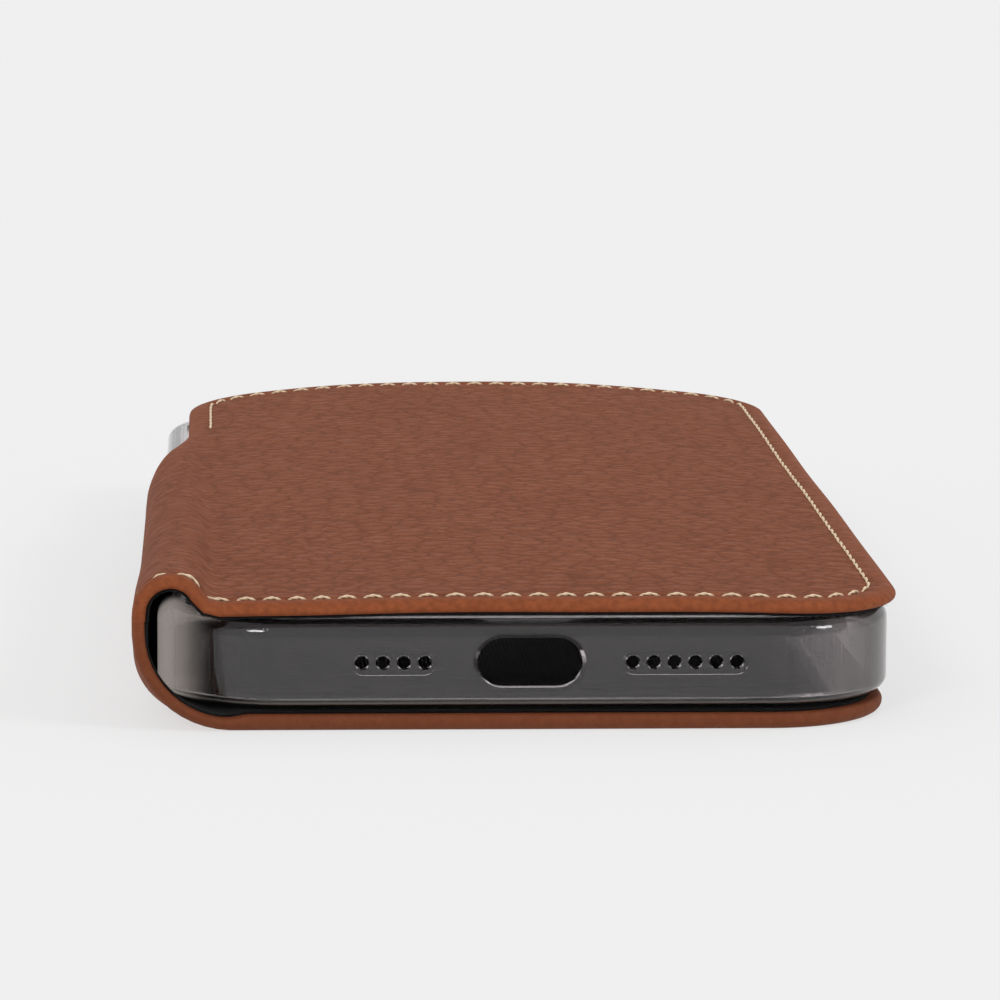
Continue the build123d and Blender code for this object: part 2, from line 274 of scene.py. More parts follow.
def sweep(start, first, second, end, count=200):
    """Points along a cubic curve, with its end."""
    t = np.linspace(0, 1, count)[:, None]
    ends = (1 - t) ** 3 * np.array(start) + t ** 3 * np.array(end)
    return ends + 3 * (1 - t) ** 2 * t * np.array(first) + 3 * (1 - t) * t ** 2 * np.array(second)


def tangents(points, closed):
    """Unit directions along a line of points."""
    if closed:
        run = np.roll(points, -1, 0) - np.roll(points, 1, 0)
    else:
        run = np.gradient(points, axis=0)
    return run / np.linalg.norm(run, axis=1, keepdims=True)


def left_of(points, closed):
    """Unit directions to the left of a line of points."""
    run = tangents(points, closed)
    return np.stack([-run[:, 1], run[:, 0]], 1)


def even(points, step, closed, multiple=1):
    """The same line with evenly spaced points, their number a multiple."""
    if closed:
        points = np.vstack([points, points[:1]])
    length = np.r_[0, np.cumsum(np.linalg.norm(np.diff(points, axis=0), axis=1))]
    count = multiple * max(1, round(length[-1] / step / multiple))
    at = np.linspace(0, length[-1], count + 1)
    made = np.stack([np.interp(at, length, points[:, i]) for i in (0, 1)], 1)
    return made[:-1] if closed else made


class Edge:
    """The edge of a sheet, kept as its line of sewing with the directions into the sheet."""

    def __init__(self, outline, closed, inset=margin, step=stitch_pitch / steps_per_stitch):
        sewn = outline + left_of(outline, closed) * inset
        if not closed:
            sewn[[0, -1], 0] = 0
        self.closed = closed
        self.inset = inset
        self.line = even(sewn, step, closed, steps_per_stitch)
        self.into = left_of(self.line, closed)
        if not closed:
            self.into[[0, -1]] = [[0, 1], [0, -1]]

    def ring(self, inset):
        """The line that runs this far in from the edge."""
        return self.line + self.into * (inset - self.inset)


def panel_outline(right, near, far, near_corner, corner, left, notch_at, near_at_spine):
    """Outline of half the hide, from the spine's middle round to the spine's middle again."""
    return np.vstack([
        line((0, near_at_spine), (12, near)),
        line((12, near), (right - near_corner, near)),
        arc((right - near_corner, near + near_corner), near_corner, -90, 0),
        line((right, near + near_corner), (right, far - corner)),
        arc((right - corner, far - corner), corner, 0, 90),
        line((right - corner, far), (left + corner, far)),
        arc((left + corner, far - corner), corner, 90, 180),
        line((left, far - corner), (left, notch_at)),
        sweep((left, notch_at), (left, notch_at - 0.28 * (notch_at - notch_foot)),
              (0.14 * left + 0.4, notch_foot), (0, notch_foot)),
    ])


flap_edge = Edge(panel_outline(flap_high[0] + flap_u_of_x, flap_near, flap_far,
                               flap_near_corner, flap_far_corner, flap_left + flap_u_of_x,
                               notch_start["flap"], flap_near), False)
back_edge = Edge(panel_outline(back_high[0] + back_u_of_x, back_low[1], back_high[1],
                               back_corner, back_corner, back_left + back_u_of_x,
                               notch_start["back"], flap_near), False)


def rounded(middle, size, corner):
    """Outline of a rectangle with rounded corners, anticlockwise."""
    half = np.array(size) / 2 - corner
    pieces = []
    for turn, (sx, sy) in zip((0, 90, 180, 270), ((1, 1), (-1, 1), (-1, -1), (1, -1))):
        pieces.append(arc(np.array(middle) + half * (sx, sy), corner, turn, turn + 90))
    corners = [np.vstack([piece, line(piece[-1], pieces[(i + 1) % 4][0])[1:]])
               for i, piece in enumerate(pieces)]
    return np.vstack(corners)


window_in_hide = window_middle + (back_u_of_x, 0)
window_edge = Edge(rounded(window_in_hide, window_size, window_corner)[::-1], True, inset=1.0)


# ---- Meshes ----
def within(points, loop):
    """Which points lie inside a closed loop."""
    x, y = points[:, 0][:, None], points[:, 1][:, None]
    x0, y0 = loop[:, 0], loop[:, 1]
    x1, y1 = np.roll(x0, -1), np.roll(y0, -1)
    crosses = (y0 > y) != (y1 > y)
    gap = np.where(y1 == y0, 1e-9, y1 - y0)
    return (crosses & (x < x0 + (y - y0) / gap * (x1 - x0))).sum(1) % 2 == 1


class Sheet:
    """A closed sheet in its flat plan: rings follow each edge from face to face, triangles fill."""

    def __init__(self, edge, profile, columns, row, hole=None, hole_profile=None):
        self.points, self.faces, self.rims = [], [], []
        rings = self.add_rings(edge, profile)
        border = edge.ring(profile[0][0])
        front, back = list(rings[0]), list(rings[-1])
        seam = np.zeros((0, 2))
        if not edge.closed:
            gap = border[0][1] - border[-1][1]
            count = max(2, int(abs(gap) / row))
            along = border[-1][1] + gap * np.arange(1, count) / count
            seam = np.stack([np.zeros(count - 1), along], 1)
            front += self.add(seam, profile[0][1], profile[0][0])
            back += self.add(seam, profile[-1][1], profile[0][0])
        loops = [np.vstack([border, seam])]
        ids_front, ids_back = [front], [back]
        if hole:
            hole_rings = self.add_rings(hole, hole_profile)
            loops.append(hole.ring(hole_profile[0][0]))
            ids_front.append(list(hole_rings[0]))
            ids_back.append(list(hole_rings[-1]))
        spare = row * 0.45
        inner = np.vstack([border + edge.into * spare, seam])
        low, high = border.min(0), border.max(0)
        grid = np.stack(np.meshgrid(columns[(columns > low[0]) & (columns < high[0])],
                                    np.arange(low[1] + row, high[1], row)), -1).reshape(-1, 2)
        grid = grid[within(grid, inner)]
        if hole:
            grid = grid[~within(grid, hole.ring(hole_profile[0][0] + spare))]
        flat = np.vstack(loops + [grid])
        pairs, first = [], 0
        for loop in loops:
            pairs += [(first + i, first + (i + 1) % len(loop)) for i in range(len(loop))]
            first += len(loop)
        ids_front = sum(ids_front, []) + self.add(grid, profile[0][1], profile[0][0])
        ids_back = sum(ids_back, []) + self.add(grid, profile[-1][1], profile[0][0])
        made = delaunay_2d_cdt([tuple(p) for p in flat], pairs, [], 0, 1e-6)
        source = [o[0] for o in made[3]]
        triangles = np.array([[source[i] for i in face] for face in made[2]])
        corners = flat[triangles]
        middles = corners.mean(1)
        across = corners[:, 1:] - corners[:, :1]
        area = np.abs(across[:, 0, 0] * across[:, 1, 1] - across[:, 0, 1] * across[:, 1, 0])
        keep = within(middles, loops[0]) & (area > 1e-5)
        if hole:
            keep &= ~within(middles, loops[1])
        for a, b, c in triangles[keep]:
            self.faces.append((ids_front[a], ids_front[b], ids_front[c]))
            self.faces.append((ids_back[c], ids_back[b], ids_back[a]))
        if not edge.closed:
            self.close_seam(rings, front[len(rings[0]):], back[len(rings[-1]):])

    def add(self, flat, depth, rim):
        """Adds points of the plan at a depth, and gives their numbers."""
        first = len(self.points)
        depth = np.broadcast_to(depth, len(flat))
        self.points += [(u, v, d) for (u, v), d in zip(flat, depth)]
        self.rims += [rim] * len(flat)
        return list(range(first, first + len(flat)))

    def add_rings(self, edge, profile):
        """Adds the rings of a profile and the faces between them."""
        rings = [self.add(edge.ring(inset), depth, inset) for inset, depth in profile]
        count = len(edge.line)
        last = count if edge.closed else count - 1
        for one, two in zip(rings, rings[1:]):
            for i in range(last):
                j = (i + 1) % count
                self.faces.append((one[i], two[i], two[j], one[j]))
        return rings

    def close_seam(self, rings, front, back):
        """Closes the cut at the middle of the spine."""
        front = [rings[0][-1], *front, rings[0][0]]
        back = [rings[-1][-1], *back, rings[-1][0]]
        for i in range(len(front) - 1):
            self.faces.append((front[i], front[i + 1], back[i + 1], back[i]))
        self.faces.append([ring[0] for ring in rings])
        self.faces.append([ring[-1] for ring in rings])


def new_object(name, points, faces, material, sharp=50):
    """A smooth-shaded mesh object from points in millimetres."""
    mesh = bpy.data.meshes.new(name)
    mesh.from_pydata([tuple(p) for p in np.asarray(points) * MM], [], [tuple(f) for f in faces])
    tidy = bmesh.new()
    tidy.from_mesh(mesh)
    bmesh.ops.recalc_face_normals(tidy, faces=tidy.faces)
    tidy.to_mesh(mesh)
    tidy.free()
    mesh.shade_smooth()
    mesh.set_sharp_from_angle(angle=math.radians(sharp))
    mesh.materials.append(material)
    thing = bpy.data.objects.new(name, mesh)
    bpy.context.scene.collection.objects.link(thing)
    return thing


def keep_grain(thing, flat, rims=None):
    """Stores each point's place in the flat hide, so that the grain follows the bends."""
    mesh = thing.data
    grain = mesh.attributes.new("grain", "FLOAT_VECTOR", "POINT")
    grain.data.foreach_set("vector", np.asarray(flat, np.float32).ravel())
    if rims is not None:
        rim = mesh.attributes.new("rim", "FLOAT", "POINT")
        rim.data.foreach_set("value", np.asarray(rims, np.float32))


def sheet_object(name, sheet, place, side, material):
    """A sheet bent into place; side is -1 for the half that u runs away from."""
    flat = np.array(sheet.points)
    points = place(flat[:, 0], flat[:, 1], flat[:, 2])
    thing = new_object(name, points, sheet.faces, material)
    keep_grain(thing, flat * (side, 1, 1), sheet.rims)
    return thing


# ---- Materials ----
class Nodes:
    """Short way to write a node material."""

    def __init__(self, name):
        self.material = bpy.data.materials.new(name)
        self.material.use_nodes = True
        self.tree = self.material.node_tree
        self.tree.nodes.clear()

    def add(self, kind, inputs=None, **settings):
        """Adds a node; inputs are numbers, colours or other nodes' outputs."""
        node = self.tree.nodes.new("ShaderNode" + kind)
        for key, value in settings.items():
            setattr(node, key, value)
        for key, value in (inputs or {}).items():
            socket = node.inputs[key]
            if isinstance(value, bpy.types.NodeSocket):
                self.tree.links.new(value, socket)
            else:
                socket.default_value = value
        return node

    def maths(self, a, b, operation="ADD"):
        """A math node's output."""
        return self.add("Math", {0: a, 1: b}, operation=operation).outputs[0]

    def ramp(self, fac, stops, ease="LINEAR"):
        """A colour ramp's output; stops are (position, colour or grey)."""
        node = self.add("ValToRGB", {0: fac})
        node.color_ramp.interpolation = ease
        while len(node.color_ramp.elements) < len(stops):
            node.color_ramp.elements.new(0.5)
        for element, (position, colour) in zip(node.color_ramp.elements, stops):
            element.position = position
            grey = isinstance(colour, (int, float))
            element.color = (colour, colour, colour, 1) if grey else (*colour, 1)
        return node.outputs[0]

    def mix(self, fac, a, b):
        """A colour mix's output."""
        node = self.add("Mix", data_type="RGBA")
        for socket, value in zip([node.inputs[0], node.inputs[6], node.inputs[7]], (fac, a, b)):
            if isinstance(value, bpy.types.NodeSocket):
                self.tree.links.new(value, socket)
            else:
                plain = isinstance(value, (int, float))
                socket.default_value = value if plain else (*value, 1)
        return node.outputs[2]

    def finish(self, shader):
        """Sends a shader to the surface and gives the material."""
        self.add("OutputMaterial", {"Surface": shader})
        return self.material


def leather(name):
    """Brown pebbled hide: soft uneven pebbles, fine pores, and a smoother turned edge.

    The creases between the pebbles are painted darker, as painted shade. From just below the spine's
    crest on round the back panel, the turned edge is painted darker: painted shade of the roll's
    underside.
    """
    n = Nodes(name)
    grain = n.add("Attribute", attribute_name="grain").outputs["Vector"]
    rim = n.add("Attribute", attribute_name="rim").outputs["Fac"]
    face = n.ramp(n.maths(rim, 4, "DIVIDE"), [(0.1, 0), (0.75, 1)], "EASE")
    drawn = n.add("VectorMath", {0: grain, 1: (0.62, 1.0, 1.0)}, operation="MULTIPLY").outputs[0]
    warp = n.add("TexNoise", {"Vector": drawn, "Scale": 0.6, "Detail": 3}).outputs["Color"]
    shift = n.add("VectorMath", {0: warp, "Scale": 1.5}, operation="SCALE").outputs[0]
    bent = n.add("VectorMath", {0: drawn, 1: shift}).outputs[0]
    broad = n.add("TexVoronoi", {"Vector": bent, "Scale": 0.5},
                  feature="DISTANCE_TO_EDGE").outputs["Distance"]
    small = n.add("TexVoronoi", {"Vector": bent, "Scale": 1.1},
                  feature="DISTANCE_TO_EDGE").outputs["Distance"]
    pores = n.add("TexNoise", {"Vector": grain, "Scale": 5.0, "Detail": 3}).outputs["Fac"]
    pebble = n.ramp(broad, [(0.0, 0), (0.34, 1)], "EASE")
    grit = n.ramp(small, [(0.0, 0), (0.30, 1)], "EASE")
    dome = n.maths(n.maths(pebble, 0.65, "MULTIPLY"), n.maths(grit, 0.35, "MULTIPLY"))
    clouds = n.add("TexNoise", {"Vector": grain, "Scale": 0.06, "Detail": 3}).outputs["Fac"]
    mid = n.mix(n.ramp(clouds, [(0.35, 0), (0.65, 1)]), (0.232, 0.060, 0.020),
                (0.258, 0.069, 0.024))
    # Painted shade: the creases between the pebbles are painted darker.
    lines = [n.ramp(broad, [(0.0, 1), (0.13, 0)], "EASE"), n.ramp(small, [(0.0, 0.6), (0.13, 0)])]
    crease = n.maths(*lines, "MAXIMUM")
    crease_shaded = n.mix(n.maths(crease, 0.8, "MULTIPLY"), mid, (0.120, 0.029, 0.009))
    light = n.mix(n.maths(pores, 0.16, "MULTIPLY"), crease_shaded, (0.27, 0.092, 0.042))
    # Painted shade: the turned edge darkens from just below the crest on along the back panel, for
    # the shade under the roll.
    shade_from, shade_length = 6, 14
    beyond = n.maths(shade_from, n.add("SeparateXYZ", {0: grain}).outputs[0], "SUBTRACT")
    edge = n.mix(n.ramp(n.maths(beyond, shade_length, "DIVIDE"), [(0, 0), (1, 1)], "EASE"),
                 (0.276, 0.073, 0.025), (0.165, 0.047, 0.019))
    mottle = n.add("TexNoise", {"Vector": grain, "Scale": 1.3, "Detail": 5}).outputs["Fac"]
    band = n.mix(n.ramp(mottle, [(0.36, 0.5), (0.7, 0)]), edge, (0.120, 0.031, 0.011))
    colour = n.mix(face, band, light)
    height = n.maths(n.maths(dome, face, "MULTIPLY"), n.maths(pores, 0.22, "MULTIPLY"))
    bump = n.add("Bump", {"Height": height, "Strength": 1.0, "Distance": 0.00032})
    rough = n.ramp(dome, [(0, 0.72), (1, 0.56)])
    shader = n.add("BsdfPrincipled", {"Base Color": colour, "Roughness": rough,
                                      "Specular IOR Level": 0.13, "Normal": bump.outputs[0]})
    return n.finish(shader.outputs[0])


def suede_cloth(name):
    """Black brushed suede: fuzzy nap, lighter fibres, soft sheen."""
    n = Nodes(name)
    grain = n.add("Attribute", attribute_name="grain").outputs["Vector"]
    nap = n.add("TexNoise", {"Vector": grain, "Scale": 7.0, "Detail": 6,
                             "Roughness": 0.75}).outputs["Fac"]
    brushed = n.add("TexNoise", {"Vector": grain, "Scale": 0.25, "Detail": 2}).outputs["Fac"]
    pale = (0.016, 0.015, 0.0155)
    fibres = n.mix(n.ramp(nap, [(0.42, 0), (0.72, 1)]), (0.0042, 0.0038, 0.0040), pale)
    colour = n.mix(n.ramp(brushed, [(0.35, 0), (0.7, 0.35)]), fibres, pale)
    bump = n.add("Bump", {"Height": nap, "Strength": 1.0, "Distance": 0.00012})
    shader = n.add("BsdfPrincipled", {"Base Color": colour, "Roughness": 0.95,
                                      "Specular IOR Level": 0.05, "Sheen Weight": 0.04,
                                      "Sheen Roughness": 0.6, "Normal": bump.outputs[0]})
    return n.finish(shader.outputs[0])


def thread(name, dark, light):
    """Waxed thread with fine fibres between two shades."""
    n = Nodes(name)
    grain = n.add("Attribute", attribute_name="grain").outputs["Vector"]
    fibre = n.add("TexNoise", {"Vector": grain, "Scale": 14.0, "Detail": 3}).outputs["Fac"]
    colour = n.mix(n.ramp(fibre, [(0.3, 0), (0.7, 1)]), dark, light)
    bump = n.add("Bump", {"Height": fibre, "Strength": 0.6, "Distance": 0.00003})
    shader = n.add("BsdfPrincipled", {"Base Color": colour, "Roughness": 0.6,
                                      "Sheen Weight": 0.2, "Normal": bump.outputs[0]})
    return n.finish(shader.outputs[0])


def clear_tpu(name):
    """Clear flexible plastic with a micro-dot pattern that stops it sticking to the phone.

    Its corners at the port end carry painted light: beside the spine the mix is paler, milkier and
    emits a faint light, and at the free edge it is painted dark, as painted shade. A pale line near
    the foot is a painted highlight. Places are in millimetres: across and along from the case's
    middle, up from the table.
    """
    micro_dot_pitch, corner_start, highlight_line_height = 0.45, 64, 3.0
    n = Nodes(name)
    at = n.add("TexCoord").outputs["Object"]
    dots = n.add("TexVoronoi", {"Vector": at, "Scale": 1 / (micro_dot_pitch * MM),
                                "Randomness": 0.0}, feature="F1").outputs["Distance"]
    dot = n.ramp(dots, [(0.12, 1), (0.3, 0)], "EASE")
    haze = n.add("TexNoise", {"Vector": at, "Scale": 60.0, "Detail": 3}).outputs["Fac"]
    rough = n.ramp(haze, [(0.3, 0.03), (0.7, 0.06)])
    bump = n.add("Bump", {"Height": dot, "Strength": 0.3, "Distance": 0.00004})
    place = n.add("SeparateXYZ", {0: at}).outputs

    def corner(side, start, width):
        """1 at the port end's corner on one side, 0 away from it."""
        across = n.maths(n.maths(place[0], side, "MULTIPLY"), start * MM, "SUBTRACT")
        along = n.maths(n.maths(place[1], -1, "MULTIPLY"), corner_start * MM, "SUBTRACT")
        shares = [n.ramp(n.maths(reach, width * MM, "DIVIDE"), [(0, 0), (1, 1)], "EASE")
                  for reach in (across, along)]
        return n.maths(*shares, "MULTIPLY")

    spine_corner, free_corner = corner(-1, 33, 6), corner(1, 32, 9)
    # Painted shade: the clear colour is painted dark at the free corner.
    tint_and_corner_shade = n.mix(free_corner, (0.78, 0.735, 0.75), (0.19, 0.168, 0.162))
    clear = n.add("BsdfPrincipled", {"Base Color": tint_and_corner_shade, "Roughness": rough, "IOR": 1.5,
                                     "Transmission Weight": 1.0, "Normal": bump.outputs[0]})
    # Painted shade: the milky colour is painted dark at the free corner.
    pale = n.mix(free_corner, (0.35, 0.325, 0.31), (0.09, 0.080, 0.076))
    # Painted light: the corner beside the spine emits a faint light, in place of light refracted
    # through the thick moulding.
    painted_glow = n.mix(spine_corner, (0, 0, 0), (1.0, 0.90, 0.83))
    milky = n.add("BsdfPrincipled", {"Base Color": pale, "Roughness": rough,
                                     "Emission Color": painted_glow, "Emission Strength": 0.30,
                                     "Normal": bump.outputs[0]})
    # Painted highlight: a pale milky line round the tray near its foot, in place of the bright
    # reflection in its lower rounding.
    off_highlight_line = n.maths(n.maths(place[2], highlight_line_height * MM, "SUBTRACT"), 0, "ABSOLUTE")
    rim = n.ramp(n.maths(off_highlight_line, 0.25 * MM, "DIVIDE"), [(0, 0.4), (1, 0)], "EASE")
    # More milky mix at the corner beside the spine, as painted light, and at the free corner, as
    # painted shade.
    corners = n.maths(n.maths(spine_corner, 0.6, "MULTIPLY"), n.maths(free_corner, 0.45, "MULTIPLY"))
    # Milky share: real haze and micro-dots, plus the painted light and shade at the corners and the
    # painted highlight line.
    haze_and_painted_light = n.maths(n.maths(n.maths(dot, 0.04, "MULTIPLY"), n.maths(corners, rim)), 0.014)
    shader = n.add("MixShader", {0: haze_and_painted_light, 1: clear.outputs[0], 2: milky.outputs[0]})
    return n.finish(shader.outputs[0])


def board(name):
    """Grey-brown stiffener board with flecks."""
    n = Nodes(name)
    at = n.add("TexCoord").outputs["Object"]
    flecks = n.add("TexNoise", {"Vector": at, "Scale": 900.0, "Detail": 5}).outputs["Fac"]
    colour = n.mix(n.ramp(flecks, [(0.35, 0), (0.65, 1)]), (0.30, 0.25, 0.19), (0.42, 0.36, 0.28))
    bump = n.add("Bump", {"Height": flecks, "Strength": 0.5, "Distance": 0.00005})
    shader = n.add("BsdfPrincipled", {"Base Color": colour, "Roughness": 0.9,
                                      "Normal": bump.outputs[0]})
    return n.finish(shader.outputs[0])


def glue(name):
    """Dark mounting film under the tray, with a faint cast texture."""
    n = Nodes(name)
    at = n.add("TexCoord").outputs["Object"]
    cast = n.add("TexNoise", {"Vector": at, "Scale": 700.0, "Detail": 4}).outputs["Fac"]
    colour = n.mix(cast, (0.010, 0.010, 0.011), (0.022, 0.021, 0.022))
    bump = n.add("Bump", {"Height": cast, "Strength": 0.4, "Distance": 0.00003})
    shader = n.add("BsdfPrincipled", {"Base Color": colour, "Roughness": 0.6,
                                      "Normal": bump.outputs[0]})
    return n.finish(shader.outputs[0])


leather_finish = leather("leather_finish")
suede_finish = suede_cloth("suede_finish")
thread_finish = thread("thread_finish", (0.62, 0.44, 0.26), (0.90, 0.74, 0.52))
dark_thread_finish = thread("dark_thread_finish", (0.040, 0.037, 0.040), (0.095, 0.090, 0.095))
tpu_finish = clear_tpu("tpu_finish")
board_finish = board("board_finish")
glue_finish = glue("glue_finish")


# ---- Hide ----
def hide_profile(edge, notch_at, groove, roll):
    """Rings of the hide: flat face, groove pulled in by the thread, padded roll, flat reverse."""
    u, v = edge.line.T
    sewn = np.where((u < 30) & (v > 0), smooth((v - notch_at) / 3), 1)
    pull = sewn * np.cos(np.arange(len(u)) * math.pi / steps_per_stitch) ** 2
    top = [(3.8, 0.0)]
    top += [(inset, groove * share * (sewn + pull))
            for inset, share in ((3.5, 0.2), (3.25, 0.6), (3.0, 1.0), (2.75, 0.65), (2.4, 0.22))]
    top += [(2.0, 0.0), (1.5, -0.03), (1.05, 0.0), (0.7, 0.09), (0.4, 0.23), (0.17, 0.43),
            (0.04, 0.66)]
    under = [(0.0, 0.92), (0.06, 1.13), (0.22, 1.31), (0.5, 1.33 + roll), (0.9, 1.34 + roll),
             (1.35, 1.31 + roll / 2), (1.8, 1.29), (3.0, 1.28), (3.8, 1.28)]
    return top + under


def columns(end):
    """Columns of the fill: close together round the spine, wide on the flat."""
    return np.r_[np.arange(0.5, 16, 0.5), np.arange(16, end, 1.6)]


window_profile = [(0.6, 0.0), (0.38, 0.05), (0.2, 0.13), (0.07, 0.28), (0.0, 0.5), (0.0, 0.8),
                  (0.07, 1.02), (0.2, 1.17), (0.38, 1.25), (0.6, 1.28)]
cover_flap = sheet_object(
    "cover_flap",
    Sheet(flap_edge, hide_profile(flap_edge, notch_start["flap"], 0.1, 0.12), columns(95), 1.6),
    in_flap, 1, leather_finish)
cover_back = sheet_object(
    "cover_back",
    Sheet(back_edge, hide_profile(back_edge, notch_start["back"], 0.15, 0.03), columns(95), 1.6,
          window_edge, window_profile),
    in_back, -1, leather_finish)


def bends_low(thing, *nodes):
    """A piece of the back half: bakes its place into its mesh and hides the CAD nodes it replaces.
    """
    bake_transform(thing)
    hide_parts(*nodes)


def bends_high(thing, *nodes):
    """A piece of the flap half: bakes its place into its mesh and hides the CAD nodes it replaces.
    """
    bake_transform(thing)
    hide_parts(*nodes)


bends_high(cover_flap, "flap_leather", "spine_leather")
bends_low(cover_back, "back_leather")


# ---- Linings ----
def napped(edge, inset, top, bottom, sag):
    """Rings of a thin suede sheet whose fuzzy edge hangs down by a little."""
    nap = [rng.uniform(-0.07, 0.07, len(edge.line)) for _ in range(3)]
    return [(3.0, top), (inset + 0.5, top), (inset + 0.12, top + sag * 0.4 + nap[0] / 2),
            (inset, (top + bottom) / 2 + sag * 0.8 + nap[1]),
            (inset + 0.12, bottom - 0.04 + sag + nap[2] / 2), (inset + 0.5, bottom + sag * 0.8),
            (inset + 1.2, bottom), (3.0, bottom)]


back_suede = hide + suede * hide / back_hide
suede_flap = sheet_object(
    "suede_flap", Sheet(flap_edge, napped(flap_edge, 0.9, hide, hide + suede, 0.2),
                        columns(95), 1.6), in_flap, 1, suede_finish)
suede_back = sheet_object(
    "suede_back", Sheet(back_edge, napped(back_edge, 1.4, hide, back_suede, 0),
                        columns(95), 1.6, window_edge,
                        [(0.7, hide), (0.45, hide), (0.3, (hide + back_suede) / 2),
                         (0.45, back_suede), (0.7, back_suede)]),
    in_back, -1, suede_finish)


def fuzz(name, edge, place, side, inset, top, bottom, count):
    """Loose fibres of the nap, three-sided and tapered, along a lining's edge."""
    at = rng.integers(1, len(edge.line) - 1, count)
    into, run = edge.into[at], edge.into[at][:, ::-1] * (1, -1)
    reach, stray = rng.uniform(0.15, 0.55, count), rng.normal(0, 0.22, count)
    start, dip = rng.uniform(top, bottom, count), rng.normal(0.08, 0.14, count)
    base = edge.line[at] + into * (inset + 0.1 - edge.inset)
    base = base + run * rng.uniform(-0.4, 0.4, count)[:, None]
    points = []
    for t in (0.0, 0.5, 1.0):
        middle = base - into * (reach * t)[:, None] + run * (stray * t * t)[:, None]
        for angle in (0.0, 2.1, 4.2):
            thick = 0.022 * (1 - 0.75 * t)
            flat = middle + run * thick * math.cos(angle)
            points.append(np.column_stack([flat, start + dip * t + thick * math.sin(angle)]))
    points = np.stack(points, 1).reshape(-1, 3)
    shape = [(0, 1, 4, 3), (1, 2, 5, 4), (2, 0, 3, 5), (3, 4, 7, 6), (4, 5, 8, 7), (5, 3, 6, 8),
             (0, 2, 1), (6, 7, 8)]
    faces = [[9 * k + i for i in face] for k in range(count) for face in shape]
    points[:, 0] = np.maximum(points[:, 0], 0)
    thing = new_object(name, place(*points.T), faces, suede_finish)
    keep_grain(thing, points * (side, 1, 1))
    return thing


fuzz_flap = fuzz("fuzz_flap", flap_edge, in_flap, 1, 0.9, hide + 0.15, hide + suede + 0.15, 1700)
fuzz_back = fuzz("fuzz_back", back_edge, in_back, -1, 1.4, hide + 0.05, back_suede, 1400)
for lining in (suede_flap, fuzz_flap):
    bends_high(lining, "flap_lining", "spine_lining")
for lining in (suede_back, fuzz_back):
    bends_low(lining, "back_lining")


# ---- Sewing ----
def stitches(name, edge, place, side, material, kept, face=0.0, out=-1, bed=0.25, rise=0.34):
    """Twisted two-ply stitches along a line of sewing, where kept is true.

    They lie on the face at a depth and arch out of it: their ends are bedded in the sheet.
    """
    rows, around = 11, 6
    index = np.arange(len(edge.line))
    shown = stitch_length / stitch_pitch * steps_per_stitch
    t = np.linspace(0, 1, rows)
    arch = np.sin(math.pi * t) ** 0.8
    ring = 2 * math.pi * np.arange(around) / around
    points, faces = [], []
    for start in range(0, len(edge.line) - steps_per_stitch + 1, steps_per_stitch):
        if not kept(*edge.line[start + steps_per_stitch // 2]):
            continue
        sway = rng.uniform(-0.04, 0.04, 2)
        at = start + (steps_per_stitch - shown) / 2 + shown * t
        centre = np.stack([np.interp(at, index, edge.line[:, i]) for i in (0, 1)], 1)
        into = np.stack([np.interp(at, index, edge.into[:, i]) for i in (0, 1)], 1)
        thick = ply_radius * (0.3 + 0.7 * arch)
        for ply in (0, 1):
            twist = (2 * math.pi * ply_turns * t + math.pi * ply)[:, None]
            across = ply_offset * np.cos(twist) + np.outer(thick, np.cos(ring))
            up = ply_offset * np.sin(twist) + np.outer(thick, np.sin(ring))
            across = across + (sway[0] + (sway[1] - sway[0]) * t)[:, None]
            depth = face + out * ((rise * arch - bed)[:, None] + up)
            flat = centre[:, None, :] + into[:, None, :] * across[..., None]
            first = len(points)
            points += np.concatenate([flat, depth[..., None]], 2).reshape(-1, 3).tolist()
            for i in range(rows - 1):
                for j in range(around):
                    a, b = first + i * around + j, first + i * around + (j + 1) % around
                    faces.append((a, b, b + around, a + around))
            faces.append([first + j for j in range(around)])
            faces.append([first + (rows - 1) * around + j for j in range(around)])
    flat = np.array(points)
    flat[:, 2] += 0.3 * (1 - smooth((flat[:, 0] - 5) / 6))
    thing = new_object(name, place(flat[:, 0], flat[:, 1], flat[:, 2]), faces, material, 70)
    keep_grain(thing, flat * (side, 1, 1))
    return thing


def off_cut_away(notch_at):
    """Sewing runs everywhere but along the cut-away edge."""
    return lambda u, v: v < 0 or v > notch_at or u > 45


thread_flap = stitches("thread_flap", flap_edge, in_flap, 1, thread_finish,
                       off_cut_away(notch_start["flap"]))
thread_back = stitches("thread_back", back_edge, in_back, -1, thread_finish,
                       off_cut_away(notch_start["back"]), bed=0.4, rise=0.26)
bends_high(thread_flap, "flap_stitching", "spine_stitching")
bends_low(thread_back, "back_stitching")


# ---- Pockets ----
def pocket_sheet(edge, mouth, top):
    """Rings and fill of a pocket: thin suede, turned over and thicker along its mouth."""
    hem = np.where(edge.line[:, 0] < mouth + pocket_margin + 0.3, 0.1, 0)
    nap = rng.uniform(-0.03, 0.03, (2, len(edge.line)))
    profile = [(1.5, 0.0), (0.4, 0.0), (0.1, 0.05 + nap[0]), (0.0, 0.15), (0.1, 0.26 + nap[1] + hem),
               (0.4, 0.3 + hem), (1.1, 0.3 + hem), (1.5, 0.3)]
    return Sheet(edge, [(inset, top + depth) for inset, depth in profile], columns(95), 1.6)


def pocket_sewn(mouth, next_mouth, edge):
    """Where a pocket is sewn: its two ends as far as the next mouth, or all but its own mouth."""
    low, high = edge.line[:, 1].min(), edge.line[:, 1].max()
    if next_mouth is None:
        return lambda u, v: u > mouth + 2.4
    return lambda u, v: mouth + 2.4 < u < next_mouth - 1.5 and (v < low + 0.5 or v > high - 0.5)


